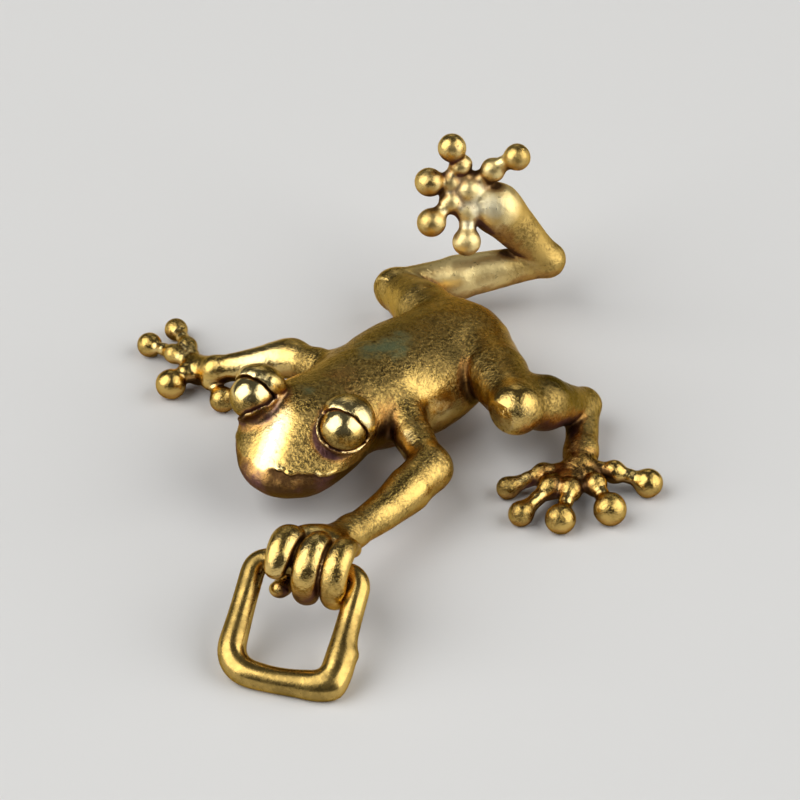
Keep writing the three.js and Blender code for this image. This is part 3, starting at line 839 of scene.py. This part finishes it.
def skin_pieces(material):
    """Meshes the casting and parts it into one closed piece for each node."""
    vertices, quads = surface_nets(*sample(casting))
    vertices, normals = settle(casting, vertices)
    layers = {
        "hollow_and_painted_shade": patina_and_painted_shade(vertices, normals),
        "polish_and_painted_light": polish_and_painted_light(vertices, normals),
        "green": gathered(vertices, GREENED),
        "satin": np.minimum(gathered(vertices, SATIN), 1),
        "purple": eye_stain(vertices),
    }
    owner = owners(vertices, quads)
    for n, node in enumerate(FORMS):
        used, flat = np.unique(quads[owner == n], return_inverse=True)
        faces = flat.reshape(-1, 4).tolist()
        points = vertices[used]
        facing = normals[used]
        loops = rims(faces)
        for loop in loops:
            middle = len(points)
            points = np.append(points, [points[loop].mean(0)], 0)
            facing = np.append(facing, [UP], 0)
            faces += [[a, b, middle] for a, b in zip(loop, loop[1:] + loop[:1])]
        piece = ready(node + "_skin", points, faces, "frog", material, facing)
        for name, values in layers.items():
            write_attribute(piece, name, np.append(values[used], np.zeros(len(loops))))
        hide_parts(node)


# Materials


def add(tree, kind, inputs, **settings):
    """Adds a shader node; inputs are sockets to link or values to set."""
    node = tree.nodes.new("ShaderNode" + kind)
    for name, value in settings.items():
        setattr(node, name, value)
    for name, value in inputs.items():
        if isinstance(value, bpy.types.NodeSocket):
            tree.links.new(value, node.inputs[name])
        else:
            node.inputs[name].default_value = value
    return node


def math_node(tree, operation, first, second):
    return add(tree, "Math", {0: first, 1: second}, operation=operation).outputs[0]


def between(tree, value, low, high, start=0.0, end=1.0):
    """Smooth change from start to end while the value goes from low to high."""
    inputs = {"Value": value, "From Min": low, "From Max": high, "To Min": start, "To Max": end}
    return add(tree, "MapRange", inputs, interpolation_type="SMOOTHSTEP").outputs["Result"]


def mixed(tree, share, first, second):
    return add(tree, "Mix", {0: share, 6: first, 7: second}, data_type="RGBA").outputs[2]


def colour(red, green, blue):
    return (red, green, blue, 1)


def plus(tree, first, second, share):
    """The first value, with a share of the second added."""
    return math_node(tree, "ADD", first, math_node(tree, "MULTIPLY", second, share))


def noise(tree, where, scale, detail, roughness, distortion):
    inputs = {
        "Vector": where,
        "Scale": scale,
        "Detail": detail,
        "Roughness": roughness,
        "Distortion": distortion,
    }
    return add(tree, "TexNoise", inputs).outputs["Fac"]


# Layers that skin_pieces writes on the skin
LAYERS = ("hollow_and_painted_shade", "polish_and_painted_light", "green", "satin", "purple")

# Noise that breaks the layers up: scale for each millimetre, detail, roughness and distortion
CLOUDS = (0.22, 4.0, 0.55, 0.0)
BLOTCHES = (0.5, 5.0, 0.6, 0.0)
MOTTLE = (1.2, 5.0, 0.65, 0.0)
PITS = (3.1, 4.0, 0.6, 0.7)

# Values between which each tint comes in
# Wear and painted highlight bring in the bright brass, and the palest brass above that
BRIGHT_WEAR_AND_SHEEN = (0.35, 0.9)
BURNISH_AND_HIGHLIGHT_WEAR = (0.95, 1.3)
DULL_CLOUDS = (0.5, 0.8)
PAINTED_SHADE_POLISH = (-0.95, -1.4)
SPECKLE_PITS = (0.42, 0.58)
PORE_PITS = (0.62, 0.7)
COPPER_CREASE = (0.36, 0.56)
STAIN_CREASE = (0.52, 0.82)
PURPLE_CLOUDS = (0.44, 0.66)
GREEN_BLOTCHES = (1.45, 2.3)
ROUGH_MOTTLE = (0.35, 0.7)

# Shares in which noise and layers are added to one another
WEAR_MOTTLE = 0.5
DULL_MOTTLE = 0.3
# These carry the painted highlight and painted shade of the polish layer into the dull olive tint
DULL_POLISH = -0.45
SPECKLE_POLISH = -0.8
CREASE_MOTTLE = 0.45
PURPLE_PULL = 0.3
GREEN_PULL = 2.2

# Strongest of each layer: of speckle and pores for a full grain, and of copper and verdigris
SPECKLE = 0.87
PORES = 0.75
COPPER_SHARE = 0.75
GREEN_SHARE = 0.8

# Roughness that the mottle and each layer add, and the metal that shows through verdigris
MOTTLE_ROUGHNESS = 0.08
DULL_ROUGHNESS = 0.08
STAIN_ROUGHNESS = 0.2
GREEN_ROUGHNESS = 0.25
SATIN_ROUGHNESS = 0.26
GREEN_METAL = 0.6

# Depth of the pits, on bright brass as a share and added where it is dull
PIT_DEPTH = 0.14
BRIGHT_PITS = 0.35
DULL_PITS = 0.8

BRASS = colour(0.64, 0.43, 0.125)
BRIGHT_BRASS = colour(0.93, 0.74, 0.34)
# Palest brass: on the sharpest worn ridges, and as painted highlight on the highlight spots
BURNISH_AND_PAINTED_HIGHLIGHT = colour(0.97, 0.87, 0.58)
OLIVE = colour(0.19, 0.125, 0.036)
# Painted shade colour, where the polish layer is far below 0
PAINTED_SHADE_OLIVE = colour(0.075, 0.055, 0.018)
COPPER = colour(0.44, 0.22, 0.06)
BROWN = colour(0.1, 0.05, 0.018)
PURPLE = colour(0.16, 0.075, 0.07)
VERDIGRIS = colour(0.08, 0.135, 0.075)
EDGE_TINT = colour(0.8, 0.62, 0.34)  # of reflections at grazing angles


def brass_material(name, grain, gloss, tarnish_and_shade):
    """Antique brass: grain is how strong its fine pits are, gloss its least roughness and tarnish_and_shade
    how dull it gets, from tarnishing and from painted shade."""
    material = bpy.data.materials.new(name)
    material.use_nodes = True
    tree = material.node_tree
    shader = tree.nodes["Principled BSDF"]
    place = add(tree, "TexCoord", {}).outputs["Object"]
    where = add(tree, "Mapping", {"Vector": place, "Scale": (1 / MM,) * 3}).outputs["Vector"]
    # Layers: patina with painted shade, wear with painted light, verdigris, satin finish and eye stain
    hollow_and_painted_shade, painted_light_and_wear, green, satin, purple = [
        add(tree, "Attribute", {}, attribute_name=layer).outputs["Fac"] for layer in LAYERS
    ]
    clouds, blotches, mottle, pits = [
        noise(tree, where, *kind) for kind in (CLOUDS, BLOTCHES, MOTTLE, PITS)
    ]

    # Worn ridges and painted highlights turn bright brass, palest on the highlight spots; the rest is
    # speckled olive, darkest in painted shade
    sheen_and_wear = plus(tree, painted_light_and_wear, mottle, WEAR_MOTTLE)
    tint = mixed(tree, between(tree, sheen_and_wear, *BRIGHT_WEAR_AND_SHEEN), BRASS, BRIGHT_BRASS)
    tint = mixed(tree, between(tree, sheen_and_wear, *BURNISH_AND_HIGHLIGHT_WEAR), tint, BURNISH_AND_PAINTED_HIGHLIGHT)
    dull = plus(tree, plus(tree, clouds, mottle, DULL_MOTTLE), painted_light_and_wear, DULL_POLISH)
    dull = between(tree, dull, *DULL_CLOUDS, 0.0, tarnish_and_shade)
    speckle = between(tree, pits, *SPECKLE_PITS, 1 - SPECKLE * grain, 1.0)
    speckle = math_node(tree, "MAXIMUM", speckle, math_node(tree, "MULTIPLY", painted_light_and_wear, SPECKLE_POLISH))
    tint = mixed(tree, math_node(tree, "MULTIPLY", dull, speckle), tint, OLIVE)
    # Painted shade: darkest olive where the polish layer is far below 0
    tint = mixed(tree, between(tree, painted_light_and_wear, *PAINTED_SHADE_POLISH), tint, PAINTED_SHADE_OLIVE)
    tint = mixed(tree, between(tree, pits, *PORE_PITS, 0.0, PORES * grain), tint, BROWN)

    # Patina in the creases, and the painted shade laid with it, go coppery at their edges and dark at their
    # bottoms
    crease_and_shade = plus(tree, hollow_and_painted_shade, mottle, CREASE_MOTTLE)
    tint = mixed(tree, between(tree, crease_and_shade, *COPPER_CREASE, 0.0, COPPER_SHARE), tint, COPPER)
    stain = between(tree, crease_and_shade, *STAIN_CREASE)
    purple_share = between(tree, plus(tree, clouds, purple, PURPLE_PULL), *PURPLE_CLOUDS)
    tint = mixed(tree, stain, tint, mixed(tree, purple_share, BROWN, PURPLE))

    # Verdigris lies over the rest
    spread = plus(tree, green, blotches, GREEN_PULL)
    patch = between(tree, spread, *GREEN_BLOTCHES, 0.0, GREEN_SHARE)
    tint = mixed(tree, patch, tint, VERDIGRIS)
    tree.links.new(tint, shader.inputs["Base Color"])
    shader.inputs["Specular Tint"].default_value = EDGE_TINT

    rough = between(tree, mottle, *ROUGH_MOTTLE, gloss, gloss + MOTTLE_ROUGHNESS)
    rough = plus(tree, rough, dull, DULL_ROUGHNESS)
    rough = plus(tree, rough, stain, STAIN_ROUGHNESS)
    rough = plus(tree, rough, patch, GREEN_ROUGHNESS)
    rough = plus(tree, rough, satin, SATIN_ROUGHNESS)
    tree.links.new(rough, shader.inputs["Roughness"])
    tree.links.new(between(tree, patch, 0.0, 1.0, 1.0, GREEN_METAL), shader.inputs["Metallic"])

    depth = math_node(tree, "ADD", math_node(tree, "MULTIPLY", dull, DULL_PITS), BRIGHT_PITS)
    height = math_node(tree, "MULTIPLY", pits, depth)
    bump = add(tree, "Bump", {"Height": height, "Strength": grain, "Distance": PIT_DEPTH * MM})
    tree.links.new(bump.outputs["Normal"], shader.inputs["Normal"])
    return material


cast_brass = brass_material("cast_brass", grain=0.8, gloss=0.15, tarnish_and_shade=0.9)
polished_brass = brass_material("polished_brass", grain=0.5, gloss=0.13, tarnish_and_shade=1.0)
ring_brass = brass_material("ring_brass", grain=0.15, gloss=0.2, tarnish_and_shade=0.8)

skin_pieces(cast_brass)


# Eyes and ring


def eyeball(side):
    mesh = bmesh.new()
    bmesh.ops.create_icosphere(mesh, subdivisions=5, radius=1)
    normals = np.array([v.co[:] for v in mesh.verts])
    faces = [[v.index for v in f.verts] for f in mesh.faces]
    mesh.free()
    vertices = eyes[side] + EYE_RADII[side] * normals
    piece = ready(f"{side}_eyeball_ball", vertices, faces, "frog", polished_brass)
    hollow_and_painted_shade = np.zeros(len(vertices))
    for distance in EYE_OPEN_DISTANCES:
        open_share = np.minimum(casting(vertices + distance * normals) / distance, 1)
        hollow_and_painted_shade += (1 - open_share) / len(EYE_OPEN_DISTANCES)
    write_attribute(piece, "hollow_and_painted_shade", np.clip(hollow_and_painted_shade, 0, 1))
    # Painted shade: the lower half of the eyeball is made dull and dark
    tarnish_and_shade = EYE_PAINTED_SHADE * smooth_step(-normals[:, 2], *EYE_UNDERSIDE)
    write_attribute(piece, "polish_and_painted_light", EYE_POLISH - tarnish_and_shade)
    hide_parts(f"{side}_eyeball")


# The ring is bent by hand: its wire swells at the lower corners, its bottom bows and its end is soldered
# on. Its places are given to the left of its middle, down from its bar and out of its plane.
RING_SIDES = 32
RING_STEP = 0.25
RING_HALF = RING_WIDTH / 2
# Corners, each with how far before and after it the wire is bent
RING_CORNERS = [
    (RING_HALF, 0, 1.5),
    (RING_HALF, RING_DROP, 1.8),
    (-RING_HALF, RING_DROP, 2.5),
    (-RING_HALF, 0, 1.5),
]
BEND_STEPS = 25
WIRE_THIN = 1.05
CORNER_SWELLS = {1: 0.25, -1: 0.22}  # at the left and the right lower corner
SWELL_REACH = 3.2
SWELL_INSET = 0.9
RING_BOW = 0.45
BEAD_RISE = 3.4
# Lumps on the wire, each with its place, reach and height: the bead of solder and the sharp lower corner
LUMPS = [
    ((RING_HALF + WIRE_THIN, RING_DROP - BEAD_RISE, 0.3), 0.85, 0.2),
    ((RING_HALF + 0.7, RING_DROP + 0.7, 0.2), 1.1, 0.35),
]
# The end of the wire that is lapped on: its height, how far below the bead it starts and is full, and the
# same across the ring
LAP_HEIGHT = 0.24
LAP_START = (-0.6, 0.4)
LAP_SIDE = (RING_HALF - 3.5, RING_HALF - 0.5)


def ring_path():
    """Even points along the middle of the wire: across to the frog's left and down from the bar."""
    corners = np.array(RING_CORNERS)
    rough = []
    for before, here, after in zip(np.roll(corners, 1, 0), corners, np.roll(corners, -1, 0)):
        bend = here[:2]
        reach = here[2]
        enter = bend + reach * unit(before[:2] - bend)
        leave = bend + reach * unit(after[:2] - bend)
        for t in np.linspace(0, 1, BEND_STEPS):
            rough.append((1 - t) ** 2 * enter + 2 * t * (1 - t) * bend + t * t * leave)
    rough = np.array(rough + rough[:1])
    lengths = np.append(0, np.cumsum(np.linalg.norm(np.diff(rough, axis=0), axis=1)))
    stations = np.linspace(0, lengths[-1], int(lengths[-1] / RING_STEP), endpoint=False)
    path = np.stack([np.interp(stations, lengths, rough[:, axis]) for axis in (0, 1)], 1)
    low = smooth_step(path[:, 1], RING_DROP / 2, RING_DROP)
    path[:, 1] += RING_BOW * low * np.cos(path[:, 0] / RING_HALF * math.pi / 2)
    return path


def wire_radii(path):
    radii = np.full(len(path), WIRE_THIN)
    for side, swell in CORNER_SWELLS.items():
        corner_point = np.array([side * (RING_HALF - SWELL_INSET), RING_DROP - SWELL_INSET])
        radii += swell * np.exp(-(np.linalg.norm(path - corner_point, axis=1) / SWELL_REACH) ** 2)
    return radii


def ring():
    path = ring_path()
    lap = smooth_step(path[:, 1] - RING_DROP + BEAD_RISE, *LAP_START)
    lap = LAP_HEIGHT * lap * smooth_step(path[:, 0], *LAP_SIDE)
    turn = np.linspace(0, 2 * math.pi, RING_SIDES, endpoint=False)[:, None]
    rounds = []
    neighbours = zip(np.roll(path, 1, 0), path, np.roll(path, -1, 0), wire_radii(path), lap)
    for before, here, after, radius, step in neighbours:
        along = unit(after - before)
        out = np.array([along[1], -along[0], 0])
        facing = np.cos(turn) * out + np.sin(turn) * UP
        wire = np.append(here, 0) + radius * facing
        height = gathered(wire, LUMPS)[:, None] + step * np.maximum(np.cos(turn), 0) ** 2
        rounds.append(wire + height * facing)
    pitch = -math.asin((grip[2] - WIRE_RADIUS) / RING_DROP)
    down = math.cos(pitch) * grip_ahead + math.sin(pitch) * UP
    axes = np.array([grip_left, down, np.cross(grip_left, down)])
    vertices = grip + np.concatenate(rounds) @ axes
    vertices[:, 2] = np.maximum(vertices[:, 2], 0)
    faces = []
    for i in range(len(path)):
        here = i * RING_SIDES
        following = (i + 1) % len(path) * RING_SIDES
        for j in range(RING_SIDES):
            k = (j + 1) % RING_SIDES
            faces.append([here + j, following + j, following + k, here + k])
    piece = ready("wire_ring", vertices, faces, "ring", ring_brass)
    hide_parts("grip_ring")


for side in eyes:
    eyeball(side)
ring()


# Studio

# Lamps: direction as shares towards the camera, to its right and above it, width and height, brightness
SOFTBOXES = {
    "left_softbox": ((0.53, -0.73, 0.4), (1760, 2130), 2.65),
    "right_softbox": ((0.43, 0.84, 0.33), (2050, 1830), 2.2),
    "rear_softbox": ((-0.4, 0, 1), (610, 300), 1.2),
}
LAMP_DISTANCE = 1600
LAMP_TARGET = (0, -6, 4)
FLOOR_HALF = 3000
FLOOR_COLOUR = colour(0.72, 0.715, 0.7)
FLOOR_ROUGHNESS = 0.75
WORLD_COLOUR = colour(0.06, 0.06, 0.06)
NEAREST_SEEN = 10


def floor():
    mesh = bpy.data.meshes.new("floor")
    half = FLOOR_HALF * MM
    corners = [(-half, -half, 0), (half, -half, 0), (half, half, 0), (-half, half, 0)]
    mesh.from_pydata(corners, [], [(0, 1, 2, 3)])
    plane = bpy.data.objects.new("floor", mesh)
    bpy.context.collection.objects.link(plane)
    material = bpy.data.materials.new("floor")
    material.use_nodes = True
    shader = material.node_tree.nodes["Principled BSDF"]
    shader.inputs["Base Color"].default_value = FLOOR_COLOUR
    shader.inputs["Roughness"].default_value = FLOOR_ROUGHNESS
    mesh.materials.append(material)


def view_back():
    """Direction from the object to the camera."""
    azimuth = math.radians(AZIMUTH)
    elevation = math.radians(ELEVATION)
    level = math.cos(elevation)
    return np.array([math.sin(azimuth) * level, -math.cos(azimuth) * level, math.sin(elevation)])


def aimed(obj, place, target):
    """Puts a lamp or the camera at a place, looking at a target, both in millimetres."""
    obj.location = Vector(place) * MM
    obj.rotation_euler = (Vector(target) - Vector(place)).to_track_quat("-Z", "Y").to_euler()
    bpy.context.collection.objects.link(obj)


def camera():
    data = bpy.data.cameras.new("camera")
    data.lens = LENS
    data.sensor_width = SENSOR
    data.clip_start = NEAREST_SEEN * MM
    obj = bpy.data.objects.new("camera", data)
    aimed(obj, np.array(AIM) + CAMERA_DISTANCE * view_back(), AIM)
    bpy.context.scene.camera = obj


def softbox(name, direction, size, brightness):
    """A large soft lamp that faces the object, at an even brightness over its whole face."""
    data = bpy.data.lights.new(name, "AREA")
    data.shape = "RECTANGLE"
    data.size = size[0] * MM
    data.size_y = size[1] * MM
    data.energy = brightness * math.pi * data.size * data.size_y
    aimed(bpy.data.objects.new(name, data), LAMP_DISTANCE * unit(direction), LAMP_TARGET)


def studio():
    back = view_back()
    right = unit(np.cross(UP, back))
    above = np.cross(back, right)
    axes = np.array([back, right, above])
    for name, (shares, size, brightness) in SOFTBOXES.items():
        softbox(name, shares @ axes, size, brightness)
    world = bpy.data.worlds.new("studio")
    world.use_nodes = True
    world.node_tree.nodes["Background"].inputs["Color"].default_value = WORLD_COLOUR
    bpy.context.scene.world = world


camera()
floor()
studio()
bpy.context.scene.view_settings.view_transform = "Standard"
